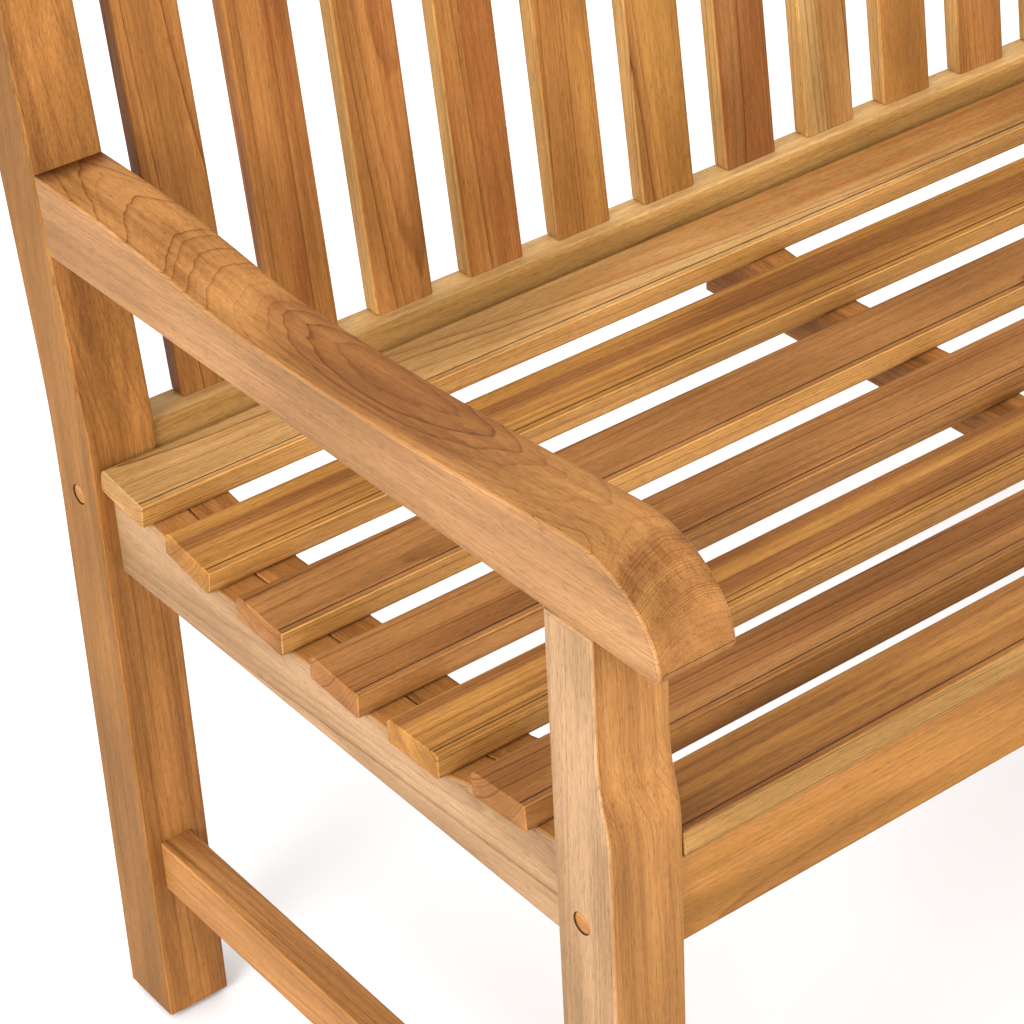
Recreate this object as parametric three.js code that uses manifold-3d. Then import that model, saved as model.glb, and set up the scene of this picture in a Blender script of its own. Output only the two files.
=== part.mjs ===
// Slatted wooden garden bench with arms, made as separate boards with real joints.
// Millimetres, +Z up, X along the bench. While it is built, Y is 0 at the front legs' lower front
// face and grows to the back, X is 0 at the middle of the bench, and Z is 0 at the floor.
// At the end the whole bench moves along Y, so that the origin is under the middle of its box.
import * as THREE from "three";
import { mergeVertices } from "three/addons/utils/BufferGeometryUtils.js";
import Module from "manifold-3d";

// Overall sizes
const BENCH_LENGTH = 1017;
const BENCH_HEIGHT = 890;
const TIMBER = 47.7; // width of legs, posts and arms along X
const GLIDE_HEIGHT = 5;
const FIT = 0.3; // clearance between two pieces that touch
const EASE = 1.6; // chamfer along the long edges of the boards

// Rear post, side view: straight below the kink, leaning back above it
const POST_FRONT = 501;
const POST_FOOT_REAR = 551.5;
const POST_SEAT_REAR = 546;
const KINK_HEIGHT = 472;
const LEAN = THREE.MathUtils.degToRad(6.65);
const POST_TOP_DEPTH = 44;
const POST_CROWN = 10; // rounding of the top
const POST_BEND_FRONT = 12; // reach of the curve at the kink, above and below it
const POST_BEND_REAR = 60;

// Front leg, side view
const LEG_REAR = 46.3;
const LEG_STEP = 8.1; // how far the upper front face stands back from the lower one
const LEG_STEP_LOW = 466;
const LEG_STEP_HIGH = 524;
const LEG_STEP_HANDLES = [28, 20]; // how far the S-curve runs straight at its top and its foot

// Arm, side view: [y, z] of the points of its top, from the back to the nose, and of the tangents
const ARM_UNDERSIDE = 596.4;
const ARM_REAR_TOP = 646.8;
const ARM_TOP = [
  { tangents: [[441.1, 646.8], [416.1, 643.4]], point: [396, 641.6] },
  { tangents: [[365, 639], [340, 633.4]], point: [300, 633.4] },
  { tangents: [[190, 633.4], [115, 640]], point: [25, 648] },
  { tangents: [[-6, 650.5], [-38, 633]], point: [-43, 603] },
];
const ARM_LIP = { corner: -44, end: -37 }; // rounded lower edge of the nose

// Seat rails, bearer and cleats
const SIDE_RAIL = { inset: 11.3, width: 27.5, bottom: 374.4 };
const CLEAT = { width: 29, bottom: 398 };
const BEARER = { width: 33, bottom: 390 };
const FRONT_RAIL = { front: 5.8, rear: 33.8, bottom: 379 };
const REAR_RAIL = { front: 504, rear: 529.5, bottom: 397, top: 468 };
const STRETCHER = { inset: 10.5, width: 24, bottom: 115, top: 154 };

// Seat slats: rear top edge [y, z] and rise towards the front in radians, from the back to the front
const SEAT_SLAT = { width: 47.5, thickness: 17, inset: 4.4 };
const SEAT_SLAT_ROUNDING = { rearTop: 5, frontBottom: 2.5, rearBottom: 3 };
const FRONT_SLAT_WIDTH = 53.5;
const FRONT_SLAT_GAP = 1.2; // between its ends and the legs
const SEAT_SLATS = [
  { y: 498.4, z: 454.7, rise: -0.125 },
  { y: 426.2, z: 445.2, rise: -0.144 },
  { y: 350.7, z: 439.3, rise: -0.062 },
  { y: 275.6, z: 438.0, rise: -0.062 },
  { y: 201.5, z: 436.6, rise: 0.025 },
  { y: 124.3, z: 446.6, rise: 0.078 },
  { y: 55.1, z: 453.0, rise: 0.078 },
];

// Back: slats and top rail, set back from the posts' leaning front face
const BACK_SLAT = { count: 12, width: 45.4, setback: 14, thickness: 14 };
const TOP_RAIL = { setback: 3.5, thickness: 26, low: 336, high: 402 };

// Joints and hardware
const TENON_DEPTH = 14;
const TENON_ROOT = 4; // how far a tenon starts inside its own board
// Sections of the tenons: x is measured from the bench's outer face
const SIDE_RAIL_TENON = { x: [15, 29], z: [388, 420] };
const STRETCHER_TENON = { x: [15, 30], z: [122, 147] };
const FRONT_RAIL_TENON = { y: [11, 29], z: [386, 428] };
const REAR_RAIL_TENON = { y: [509, 527], z: [404, 456] };
const TOP_RAIL_SHOULDER = { thickness: 6, height: 8 };
const LEG_TENON = { x: [12, 36], y: [16, 38], length: 20 };
const ARM_TENON = { x: [14, 34], y: [505, 536], z: [607, 635] };
const BEARER_TENON = { shoulder: 8, depth: 12, z: [404, 425] };
const SLAT_TENON = { depth: 12, thickness: 8, shoulder: 6 };
const BOLT = { headRadius: 6, headLength: 5, shankRadius: 3, length: 100, seat: 10 };
const PLUG = { radius: 6.6, length: 3.5, recess: 0.8 };
const FRONT_BOLT = { y: 25.5, z: 408 };
const REAR_BOLT = { y: 522, z: 426 };
const GLIDE_RADIUS = 11;

const HALF = BENCH_LENGTH / 2;
const INNER = HALF - TIMBER; // inner face of legs and posts, measured from the middle
const CURVE_STEPS = 8;
const CORNER_STEPS = 3;

const wasm = await Module();
wasm.setup();

// --- Solids -------------------------------------------------------------------------------------

function solidOf(geometry) {
  const bare = new THREE.BufferGeometry();
  bare.setAttribute("position", geometry.getAttribute("position"));
  bare.setIndex(geometry.index);
  const merged = mergeVertices(bare, 1e-4);
  return new wasm.Manifold(
    new wasm.Mesh({
      numProp: 3,
      vertProperties: merged.attributes.position.array,
      triVerts: new Uint32Array(merged.index.array),
    }),
  );
}

function geometryOf(solid) {
  const mesh = solid.getMesh();
  const geometry = new THREE.BufferGeometry();
  geometry.setAttribute("position", new THREE.BufferAttribute(mesh.vertProperties, mesh.numProp));
  geometry.setIndex(new THREE.BufferAttribute(mesh.triVerts, 1));
  const flat = geometry.toNonIndexed();
  flat.computeVertexNormals();
  return flat;
}

function block(x, y, z) {
  const geometry = new THREE.BoxGeometry(x[1] - x[0], y[1] - y[0], z[1] - z[0]);
  geometry.translate((x[0] + x[1]) / 2, (y[0] + y[1]) / 2, (z[0] + z[1]) / 2);
  return solidOf(geometry);
}

// A closed side view through the corners [y, z, radius].
function outline(corners) {
  const shape = new THREE.Shape();
  const towards = (from, to, distance) => {
    const a = new THREE.Vector2(from[0], from[1]);
    const b = new THREE.Vector2(to[0], to[1]);
    return a.add(b.sub(a).setLength(distance));
  };
  corners.forEach((corner, i) => {
    const before = corners[(i + corners.length - 1) % corners.length];
    const after = corners[(i + 1) % corners.length];
    const radius = corner[2] ?? 0;
    const start = towards(corner, before, radius);
    const end = towards(corner, after, radius);
    if (i === 0) shape.moveTo(start.x, start.y);
    else shape.lineTo(start.x, start.y);
    if (radius > 0) shape.quadraticCurveTo(corner[0], corner[1], end.x, end.y);
  });
  shape.closePath();
  return shape;
}

// A side view in the YZ plane, extruded along X, with chamfered edges round its two ends.
function extrudeX(shape, x, { ease = 0, steps = CORNER_STEPS } = {}) {
  const geometry = new THREE.ExtrudeGeometry(shape, {
    depth: x[1] - x[0] - 2 * ease,
    bevelEnabled: ease > 0,
    bevelThickness: ease,
    bevelSize: ease,
    bevelOffset: -ease,
    bevelSegments: 1,
    curveSegments: steps,
  });
  const yzx = new THREE.Matrix4().makeBasis(
    new THREE.Vector3(0, 1, 0),
    new THREE.Vector3(0, 0, 1),
    new THREE.Vector3(1, 0, 0),
  );
  geometry.applyMatrix4(yzx);
  geometry.translate(x[0] + ease, 0, 0);
  return solidOf(geometry);
}

// A round bar along X.
function barX(x, y, z, radius, sides = 16) {
  const geometry = new THREE.CylinderGeometry(radius, radius, x[1] - x[0], sides);
  geometry.rotateZ(Math.PI / 2);
  geometry.translate((x[0] + x[1]) / 2, y, z);
  return solidOf(geometry);
}

const grown = (range, by) => [range[0] - by, range[1] + by];
const join = (solids) => solids.reduce((a, b) => a.add(b));
const cut = (solid, tools) => tools.reduce((a, b) => a.subtract(b), solid);

// --- Leaning back -------------------------------------------------------------------------------

// A point at a distance behind the posts' leaning front face and a distance up along it.
function leaning(behind, up) {
  const y = POST_FRONT + up * Math.sin(LEAN) + behind * Math.cos(LEAN);
  const z = KINK_HEIGHT + up * Math.cos(LEAN) - behind * Math.sin(LEAN);
  return [y, z];
}

// Y of the plane at a distance behind that face, at height z.
function leaningY(behind, z) {
  return POST_FRONT + Math.tan(LEAN) * (z - KINK_HEIGHT) + behind / Math.cos(LEAN);
}

// A block that leans with the back: x range, range behind the face, range up along it.
function leaningBlock(x, behind, up) {
  const corners = [
    leaning(behind[0], up[0]),
    leaning(behind[1], up[0]),
    leaning(behind[1], up[1]),
    leaning(behind[0], up[1]),
  ];
  return extrudeX(outline(corners), x);
}

// --- Tenons: each function gives the solid for one side, grown for the matching mortise ---------

// side is -1 for the left end and 1 for the right end; the range is measured from the outer face.
function fromEnd(side, range) {
  return side < 0 ? [-HALF + range[0], -HALF + range[1]] : [HALF - range[1], HALF - range[0]];
}

// The two tenons of a board that runs from the front leg to the rear post.
const lengthwiseTenons = (side, { x, z }, grow) => {
  const across = grown(fromEnd(side, x), grow);
  const height = grown(z, grow);
  return [
    block(across, grown([POST_FRONT - TENON_ROOT, POST_FRONT + TENON_DEPTH], grow), height),
    block(across, grown([LEG_REAR - TENON_DEPTH, LEG_REAR + TENON_ROOT], grow), height),
  ];
};

const sideRailTenons = (side, grow = 0) => lengthwiseTenons(side, SIDE_RAIL_TENON, grow);

const stretcherTenons = (side, grow = 0) => lengthwiseTenons(side, STRETCHER_TENON, grow);

// X range of a rail's tenon in the leg or post at its end.
const railTenonX = (side, grow) =>
  grown(fromEnd(side, [TIMBER - TENON_DEPTH, TIMBER + TENON_ROOT]), grow);

const frontRailTenon = (side, grow = 0) =>
  block(railTenonX(side, grow), grown(FRONT_RAIL_TENON.y, grow), grown(FRONT_RAIL_TENON.z, grow));

const rearRailTenon = (side, grow = 0) =>
  block(railTenonX(side, grow), grown(REAR_RAIL_TENON.y, grow), grown(REAR_RAIL_TENON.z, grow));

const topRailTenon = (side, grow = 0) => {
  const { setback, thickness, low, high } = TOP_RAIL;
  const shoulder = TOP_RAIL_SHOULDER;
  return leaningBlock(
    railTenonX(side, grow),
    grown([setback + shoulder.thickness, setback + thickness - shoulder.thickness], grow),
    grown([low + shoulder.height, high - shoulder.height], grow),
  );
};

const legTenon = (side, grow = 0) =>
  block(
    grown(fromEnd(side, LEG_TENON.x), grow),
    grown(LEG_TENON.y, grow),
    grown([ARM_UNDERSIDE - TENON_ROOT, ARM_UNDERSIDE + LEG_TENON.length], grow),
  );

const armTenon = (side, grow = 0) =>
  block(grown(fromEnd(side, ARM_TENON.x), grow), grown(ARM_TENON.y, grow), grown(ARM_TENON.z, grow));

const bearerTenons = (grow = 0) => {
  const { shoulder, depth, z } = BEARER_TENON;
  const x = grown([-BEARER.width / 2 + shoulder, BEARER.width / 2 - shoulder], grow);
  const height = grown(z, grow);
  return [
    block(x, grown([FRONT_RAIL.rear - depth, FRONT_RAIL.rear + TENON_ROOT], grow), height),
    block(x, grown([REAR_RAIL.front - TENON_ROOT, REAR_RAIL.front + depth], grow), height),
  ];
};

const backSlatX = (i) => {
  const pitch = (2 * INNER - BACK_SLAT.width * BACK_SLAT.count) / (BACK_SLAT.count + 1) + BACK_SLAT.width;
  const left = -INNER + pitch - BACK_SLAT.width + i * pitch;
  return [left, left + BACK_SLAT.width];
};

const backSlatTenons = (i, grow = 0) => {
  const x = grown(grown(backSlatX(i), -SLAT_TENON.shoulder), grow);
  const middle = BACK_SLAT.setback + BACK_SLAT.thickness / 2;
  const behind = grown([middle - SLAT_TENON.thickness / 2, middle + SLAT_TENON.thickness / 2], grow);
  const foot = (REAR_RAIL.top - KINK_HEIGHT) / Math.cos(LEAN);
  return [
    leaningBlock(x, behind, grown([foot - SLAT_TENON.depth, foot + 6], grow)),
    leaningBlock(x, behind, grown([TOP_RAIL.low - 6, TOP_RAIL.low + SLAT_TENON.depth], grow)),
  ];
};

// The counterbored hole for a bolt, and the bolt in it, at one end of the bench.
const boltHole = (side, place) =>
  barX(fromEnd(side, [-1, BOLT.seat]), place.y, place.z, PLUG.radius + FIT).add(
    barX(fromEnd(side, [0, BOLT.seat + BOLT.length + 2]), place.y, place.z, BOLT.shankRadius + FIT),
  );

function bolt(side, place) {
  const head = [BOLT.seat - FIT - BOLT.headLength, BOLT.seat - FIT];
  const shank = [head[0] + 1, BOLT.seat + BOLT.length];
  const hexagon = 6;
  return barX(fromEnd(side, head), place.y, place.z, BOLT.headRadius, hexagon).add(
    barX(fromEnd(side, shank), place.y, place.z, BOLT.shankRadius),
  );
}

const plug = (side, place) =>
  barX(fromEnd(side, [PLUG.recess, PLUG.recess + PLUG.length]), place.y, place.z, PLUG.radius);

// --- Posts, legs and arms -----------------------------------------------------------------------

function rearPost(side) {
  const shape = new THREE.Shape();
  const topFront = leaningY(0, BENCH_HEIGHT);
  const topRear = topFront + POST_TOP_DEPTH;
  const rearAt = (z) => topRear - Math.tan(LEAN) * (BENCH_HEIGHT - z);
  const crownFoot = BENCH_HEIGHT - POST_CROWN;
  const bend = KINK_HEIGHT + POST_BEND_REAR;
  const frontBend = KINK_HEIGHT + POST_BEND_FRONT;
  shape.moveTo(POST_FRONT, GLIDE_HEIGHT);
  shape.lineTo(POST_FOOT_REAR, GLIDE_HEIGHT);
  shape.lineTo(POST_SEAT_REAR, KINK_HEIGHT - POST_BEND_REAR);
  shape.quadraticCurveTo(POST_SEAT_REAR, KINK_HEIGHT, rearAt(bend), bend);
  shape.lineTo(rearAt(crownFoot), crownFoot);
  shape.quadraticCurveTo(topRear, BENCH_HEIGHT, topRear - POST_CROWN, BENCH_HEIGHT);
  shape.lineTo(topFront + POST_CROWN, BENCH_HEIGHT);
  shape.quadraticCurveTo(topFront, BENCH_HEIGHT, leaningY(0, crownFoot), crownFoot);
  shape.lineTo(leaningY(0, frontBend), frontBend);
  shape.quadraticCurveTo(POST_FRONT, KINK_HEIGHT, POST_FRONT, KINK_HEIGHT - POST_BEND_FRONT);
  shape.closePath();
  return cut(extrudeX(shape, fromEnd(side, [0, TIMBER]), { ease: EASE, steps: CURVE_STEPS }), [
    sideRailTenons(side, FIT)[0],
    stretcherTenons(side, FIT)[0],
    rearRailTenon(side, FIT),
    topRailTenon(side, FIT),
    armTenon(side, FIT),
    boltHole(side, REAR_BOLT),
  ]);
}

function frontLeg(side) {
  const shape = new THREE.Shape();
  shape.moveTo(0, GLIDE_HEIGHT);
  shape.lineTo(LEG_REAR, GLIDE_HEIGHT);
  shape.lineTo(LEG_REAR, ARM_UNDERSIDE - FIT);
  shape.lineTo(LEG_STEP, ARM_UNDERSIDE - FIT);
  shape.lineTo(LEG_STEP, LEG_STEP_HIGH);
  const [upper, lower] = LEG_STEP_HANDLES;
  shape.bezierCurveTo(LEG_STEP, LEG_STEP_HIGH - upper, 0, LEG_STEP_LOW + lower, 0, LEG_STEP_LOW);
  shape.closePath();
  const leg = extrudeX(shape, fromEnd(side, [0, TIMBER]), { ease: EASE, steps: CURVE_STEPS });
  return cut(leg.add(legTenon(side)), [
    sideRailTenons(side, FIT)[1],
    stretcherTenons(side, FIT)[1],
    frontRailTenon(side, FIT),
    boltHole(side, FRONT_BOLT),
  ]);
}

// Arm: flat below, its top dips in the middle and rolls over into a round nose.
function arm(side) {
  const shape = new THREE.Shape();
  shape.moveTo(leaningY(-FIT, ARM_UNDERSIDE), ARM_UNDERSIDE);
  shape.lineTo(leaningY(-FIT, ARM_REAR_TOP), ARM_REAR_TOP);
  for (const { tangents, point } of ARM_TOP) shape.bezierCurveTo(...tangents.flat(), ...point);
  shape.quadraticCurveTo(ARM_LIP.corner, ARM_UNDERSIDE, ARM_LIP.end, ARM_UNDERSIDE);
  shape.closePath();
  const body = extrudeX(shape, fromEnd(side, [0, TIMBER]), { ease: EASE, steps: CURVE_STEPS });
  return body.add(armTenon(side)).subtract(legTenon(side, FIT));
}

// --- Seat ---------------------------------------------------------------------------------------

const slatWidth = (i) => (i === SEAT_SLATS.length - 1 ? FRONT_SLAT_WIDTH : SEAT_SLAT.width);

// The point of a seat slat's section: distance from its rear edge to the front, and down from its top.
function onSlat(i, forward, down) {
  const { y, z, rise } = SEAT_SLATS[i];
  return [
    y - forward * Math.cos(rise) - down * Math.sin(rise),
    z + forward * Math.sin(rise) - down * Math.cos(rise),
  ];
}

function seatSlat(i) {
  const width = slatWidth(i);
  const section = outline([
    [...onSlat(i, 0, 0), SEAT_SLAT_ROUNDING.rearTop],
    onSlat(i, width, 0),
    [...onSlat(i, width, SEAT_SLAT.thickness), SEAT_SLAT_ROUNDING.frontBottom],
    [...onSlat(i, 0, SEAT_SLAT.thickness), SEAT_SLAT_ROUNDING.rearBottom],
  ]);
  const end = i === SEAT_SLATS.length - 1 ? INNER - FRONT_SLAT_GAP : HALF - SEAT_SLAT.inset;
  return extrudeX(section, [-end, end], { ease: 1 });
}

// Corners of the line that the slats rest on, from the back to the front.
const SEAT_LINE = SEAT_SLATS.flatMap((_, i) => [
  onSlat(i, 0, SEAT_SLAT.thickness + FIT),
  onSlat(i, slatWidth(i), SEAT_SLAT.thickness + FIT),
]);

// Height of that line at y, carried on straight beyond its ends.
function seatLineAt(y) {
  const last = SEAT_LINE.length - 2;
  const found = SEAT_LINE.findIndex((_, i) => i <= last && y >= SEAT_LINE[i + 1][0]);
  const i = found < 0 ? last : found;
  const [a, b] = [SEAT_LINE[i], SEAT_LINE[i + 1]];
  return a[1] + ((b[1] - a[1]) * (y - a[0])) / (b[0] - a[0]);
}

// A board on edge under the slats, from y = front to y = rear, its top dished like the seat.
function dishedBoard(x, front, rear, bottom) {
  const margin = 4;
  const between = SEAT_LINE.filter(([y]) => y > front + margin && y < rear - margin);
  const corners = [
    [rear, bottom],
    [rear, seatLineAt(rear)],
    ...between,
    [front, seatLineAt(front)],
    [front, bottom],
  ];
  return extrudeX(outline(corners), x, { ease: EASE });
}

function sideRail(side) {
  const x = fromEnd(side, [SIDE_RAIL.inset, SIDE_RAIL.inset + SIDE_RAIL.width]);
  const board = dishedBoard(x, LEG_REAR + FIT, POST_FRONT - FIT, SIDE_RAIL.bottom);
  return join([board, ...sideRailTenons(side)]);
}

function seatCleat(side) {
  const start = SIDE_RAIL.inset + SIDE_RAIL.width + FIT;
  const x = fromEnd(side, [start, start + CLEAT.width]);
  return dishedBoard(x, LEG_REAR + FIT, POST_FRONT - FIT, CLEAT.bottom);
}

function centerBearer() {
  const x = [-BEARER.width / 2, BEARER.width / 2];
  const board = dishedBoard(x, FRONT_RAIL.rear + FIT, REAR_RAIL.front - FIT, BEARER.bottom);
  return join([board, ...bearerTenons()]);
}

function frontRail() {
  const { front, rear, bottom } = FRONT_RAIL;
  const corners = [
    [front, bottom, 2],
    [rear, bottom, 2],
    [rear, seatLineAt(rear)],
    [front, seatLineAt(front)],
  ];
  const board = extrudeX(outline(corners), [-INNER + FIT, INNER - FIT]);
  return cut(join([board, frontRailTenon(-1), frontRailTenon(1)]), [
    boltHole(-1, FRONT_BOLT),
    boltHole(1, FRONT_BOLT),
    bearerTenons(FIT)[0],
  ]);
}

function sideStretcher(side) {
  const { inset, width, bottom, top } = STRETCHER;
  const board = block(
    fromEnd(side, [inset, inset + width]),
    [LEG_REAR + FIT, POST_FRONT - FIT],
    [bottom, top],
  );
  return join([board, ...stretcherTenons(side)]);
}

// --- Back ---------------------------------------------------------------------------------------

const backSlatNumbers = Array.from({ length: BACK_SLAT.count }, (_, i) => i);

function rearRail() {
  const { front, rear, bottom, top } = REAR_RAIL;
  const corners = [
    [front, bottom, 2],
    [rear, bottom, 2],
    [rear, top],
    [front, top, 5],
  ];
  const board = extrudeX(outline(corners), [-INNER + FIT, INNER - FIT]);
  return cut(join([board, rearRailTenon(-1), rearRailTenon(1)]), [
    boltHole(-1, REAR_BOLT),
    boltHole(1, REAR_BOLT),
    bearerTenons(FIT)[1],
    ...backSlatNumbers.map((i) => backSlatTenons(i, FIT)[0]),
  ]);
}

function topRail() {
  const { setback, thickness, low, high } = TOP_RAIL;
  const corners = [
    [...leaning(setback, low), 2],
    [...leaning(setback + thickness, low), 2],
    [...leaning(setback + thickness, high), 7],
    [...leaning(setback, high), 7],
  ];
  const board = extrudeX(outline(corners), [-INNER + FIT, INNER - FIT]);
  return cut(join([board, topRailTenon(-1), topRailTenon(1)]), [
    ...backSlatNumbers.map((i) => backSlatTenons(i, FIT)[1]),
  ]);
}

function backSlat(i) {
  const foot = REAR_RAIL.top + FIT;
  const { setback, thickness } = BACK_SLAT;
  const corners = [
    [leaningY(setback, foot), foot],
    [leaningY(setback + thickness, foot), foot],
    leaning(setback + thickness, TOP_RAIL.low - FIT),
    leaning(setback, TOP_RAIL.low - FIT),
  ];
  const board = extrudeX(outline(corners), backSlatX(i), { ease: 2 });
  return join([board, ...backSlatTenons(i)]);
}

// --- Glides -------------------------------------------------------------------------------------

function glide(side, y) {
  const top = GLIDE_HEIGHT - FIT;
  const profile = [
    new THREE.Vector2(0, 0),
    new THREE.Vector2(GLIDE_RADIUS - 1.5, 0),
    new THREE.Vector2(GLIDE_RADIUS, 1.5),
    new THREE.Vector2(GLIDE_RADIUS, top),
    new THREE.Vector2(0, top),
  ];
  const geometry = new THREE.LatheGeometry(profile, 20);
  geometry.rotateX(Math.PI / 2);
  geometry.translate(side * (HALF - TIMBER / 2), y, 0);
  return solidOf(geometry);
}

// --- Assembly -----------------------------------------------------------------------------------

const wood = (color) => new THREE.MeshStandardMaterial({ color, roughness: 0.6, metalness: 0 });
const FRAME_WOOD = wood(0xb9824a);
const SEAT_WOOD = wood(0xa8703a);
const BACK_WOOD = wood(0x9c6230);
const PLUG_WOOD = wood(0x8f5a2c);
const STEEL = new THREE.MeshStandardMaterial({ color: 0xb4b6b8, roughness: 0.4, metalness: 1 });
const GLIDE_PLASTIC = new THREE.MeshStandardMaterial({ color: 0x1b1b1c, roughness: 0.6, metalness: 0 });

const bench = new THREE.Group();

function add(name, solid, material) {
  const mesh = new THREE.Mesh(geometryOf(solid), material);
  mesh.name = name;
  bench.add(mesh);
}

for (const [hand, side] of [
  ["left", -1],
  ["right", 1],
]) {
  add(`rear_post_${hand}`, rearPost(side), FRAME_WOOD);
  add(`front_leg_${hand}`, frontLeg(side), FRAME_WOOD);
  add(`arm_${hand}`, arm(side), FRAME_WOOD);
  add(`side_rail_${hand}`, sideRail(side), FRAME_WOOD);
  add(`seat_cleat_${hand}`, seatCleat(side), SEAT_WOOD);
  add(`side_stretcher_${hand}`, sideStretcher(side), FRAME_WOOD);
  add(`rear_glide_${hand}`, glide(side, (POST_FRONT + POST_FOOT_REAR) / 2), GLIDE_PLASTIC);
  add(`front_glide_${hand}`, glide(side, LEG_REAR / 2), GLIDE_PLASTIC);
  add(`rear_bolt_${hand}`, bolt(side, REAR_BOLT), STEEL);
  add(`front_bolt_${hand}`, bolt(side, FRONT_BOLT), STEEL);
  add(`rear_plug_${hand}`, plug(side, REAR_BOLT), PLUG_WOOD);
  add(`front_plug_${hand}`, plug(side, FRONT_BOLT), PLUG_WOOD);
}
add("front_rail", frontRail(), FRAME_WOOD);
add("rear_rail", rearRail(), FRAME_WOOD);
add("top_rail", topRail(), FRAME_WOOD);
add("center_bearer", centerBearer(), SEAT_WOOD);
SEAT_SLATS.forEach((_, i) => add(`seat_slat_${i + 1}`, seatSlat(i), SEAT_WOOD));
backSlatNumbers.forEach((i) => {
  const number = String(i + 1).padStart(2, "0");
  add(`back_slat_${number}`, backSlat(i), BACK_WOOD);
});

const box = new THREE.Box3().setFromObject(bench);
bench.position.y = -(box.min.y + box.max.y) / 2;

const root = new THREE.Group();
root.add(bench);

export default root;
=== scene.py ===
# Garden bench of planed and oiled hardwood: every board is built as its own rounded, jointed piece
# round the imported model, with solid procedural wood whose growth rings run along the board.
import math

import bmesh
import bpy
import numpy as np
from mathutils import Matrix, Vector


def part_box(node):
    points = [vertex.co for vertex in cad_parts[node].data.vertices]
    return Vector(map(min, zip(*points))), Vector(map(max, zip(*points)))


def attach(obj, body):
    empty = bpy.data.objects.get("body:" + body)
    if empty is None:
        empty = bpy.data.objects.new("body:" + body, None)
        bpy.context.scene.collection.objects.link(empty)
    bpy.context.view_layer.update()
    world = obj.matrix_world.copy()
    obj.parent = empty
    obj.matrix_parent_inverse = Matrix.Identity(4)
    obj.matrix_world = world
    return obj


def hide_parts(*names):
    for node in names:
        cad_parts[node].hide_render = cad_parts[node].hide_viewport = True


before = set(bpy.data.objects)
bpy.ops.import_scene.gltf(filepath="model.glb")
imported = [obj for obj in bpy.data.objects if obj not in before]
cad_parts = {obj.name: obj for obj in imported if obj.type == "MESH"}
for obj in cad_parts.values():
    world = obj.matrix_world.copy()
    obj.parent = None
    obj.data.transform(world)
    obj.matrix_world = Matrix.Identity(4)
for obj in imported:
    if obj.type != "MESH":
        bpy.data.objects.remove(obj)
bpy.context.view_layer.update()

MM = 0.001
BODY = "root"
SIDES = ("left", "right")
UP = np.array([0.0, 0.0, 1.0])
ALONG_X = np.array([1.0, 0.0, 0.0])
TO_BACK = np.array([0.0, 1.0, 0.0])

JOINT_GAP = 0.3 * MM  # between a board and the one it meets
TIMBER_ARRIS = 2.2 * MM
RAIL_EDGE = 2.5 * MM
BUTT_ARRIS = 0.4 * MM  # at ends that meet another board

ARC_STEPS = 5  # segments of a rounded arris
NEARLY_STRAIGHT = math.radians(89.5)  # half the angle at a corner that needs no rounding
NARROW = 1.2 * MM  # faces narrower than this belong to a rounded arris
HOLE_SEGMENTS = 40
PLUG_SEGMENTS = 36

# How dark a rounding is where it starts (as a share of ARRIS_DARKENING), and how light along its middle, a
# lighter line that is wear and a painted highlight together.
LONG_EDGE_LINE = 1.7
END_EDGE_LINE = 0.8
WEAR_AND_HIGHLIGHT_MIDDLE = -0.3


# --- Reading the frame --------------------------------------------------------------------------

def box(node):
    low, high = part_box(node)
    return np.array(low), np.array(high)


def x_of(node):
    low, high = box(node)
    return low[0], high[0]


def turned_extent(node):
    """The side-view frame of a straight board that runs along X or leans in the YZ plane.

    Returns (origin, wide, thick, width, thickness): the corner where both measures start, unit
    vectors along its wide and thin sides, and the two sizes."""
    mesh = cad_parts[node].data
    area_by_normal = {}
    for face in mesh.polygons:
        normal = tuple(round(c, 3) for c in face.normal)
        if abs(normal[0]) < 0.5:  # leaves out the end faces
            area_by_normal[normal] = area_by_normal.get(normal, 0.0) + face.area
    thick = np.array(max(area_by_normal, key=area_by_normal.get))
    thick /= np.linalg.norm(thick)
    points = np.array([v.co for v in mesh.vertices])
    wide = np.cross(ALONG_X, thick)
    across, through = points @ wide, points @ thick
    origin = wide * across.min() + thick * through.min()
    return origin, wide, thick, np.ptp(across), np.ptp(through)


# --- Outlines in the side view: arrays of (y, z), anticlockwise as seen from +X -----------------

def arc_corner(before, corner, after, radius, steps=ARC_STEPS):
    """Points of a round corner."""
    corner = np.array(corner, float)
    to_before = np.array(before, float) - corner
    to_after = np.array(after, float) - corner
    to_before /= np.linalg.norm(to_before)
    to_after /= np.linalg.norm(to_after)
    half = math.acos(np.clip(to_before @ to_after, -1, 1)) / 2
    if radius <= 0 or half > NEARLY_STRAIGHT:
        return [corner]
    inwards = to_before + to_after
    centre = corner + inwards / np.linalg.norm(inwards) * radius / math.sin(half)
    start = corner + to_before * radius / math.tan(half) - centre
    end = corner + to_after * radius / math.tan(half) - centre
    sweep = math.atan2(start[0] * end[1] - start[1] * end[0], start @ end)
    turned = []
    for k in range(steps + 1):
        angle = sweep * k / steps
        c, s = math.cos(angle), math.sin(angle)
        turned.append(centre + np.array([c * start[0] - s * start[1], s * start[0] + c * start[1]]))
    return turned


def rounded(corners):
    """A closed outline from corners (y, z, radius)."""
    points = []
    count = len(corners)
    for i, (y, z, radius) in enumerate(corners):
        points += arc_corner(corners[i - 1][:2], (y, z), corners[(i + 1) % count][:2], radius)
    return np.array(points)


def bezier(p0, p1, p2, p3, steps):
    """Points of a cubic curve, without its first one."""
    t = np.linspace(0, 1, steps + 1)[1:, None]
    p0, p1, p2, p3 = (np.array(p, float) for p in (p0, p1, p2, p3))
    return list((1 - t) ** 3 * p0 + 3 * (1 - t) ** 2 * t * p1 + 3 * (1 - t) * t * t * p2 + t ** 3 * p3)


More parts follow.
